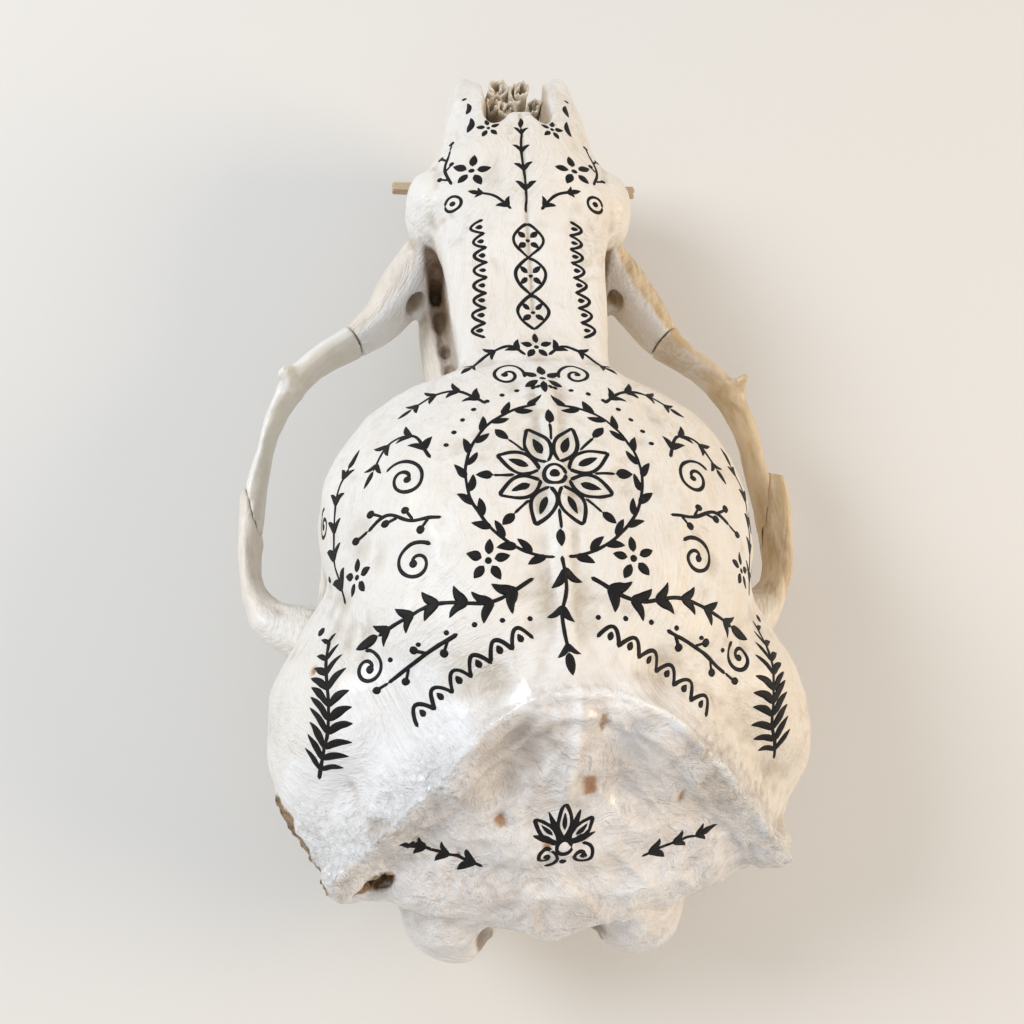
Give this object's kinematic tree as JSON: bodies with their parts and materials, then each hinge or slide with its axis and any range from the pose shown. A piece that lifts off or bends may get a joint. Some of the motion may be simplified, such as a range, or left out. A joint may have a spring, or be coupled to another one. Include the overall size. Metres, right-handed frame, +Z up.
{
  "type": "seal skull",
  "caption": "Seal cranium without its lower jaw, painted white with black ink ornament, lying on its canines and ear capsules.",
  "frame": {"origin": "on the floor under the middle of the box of the whole skull", "axes": "+Y towards the tip of the snout, +X towards the skull's right side, +Z up"},
  "size_m": [0.137, 0.2264, 0.1002],
  "materials": {
    "painted_bone": "brushed white paint with a pearly sheen over bone, black ink lines",
    "bare_bone": "thinly painted ivory to tan bone",
    "pale_wood": "raw cut stick"
  },
  "bodies": {
    "root": {"braincase": "painted_bone", "snout": "painted_bone", "cheek_bone_left": "bare_bone", "cheek_bone_right": "bare_bone", "wooden_peg": "pale_wood"}
  },
  "joints": []
}
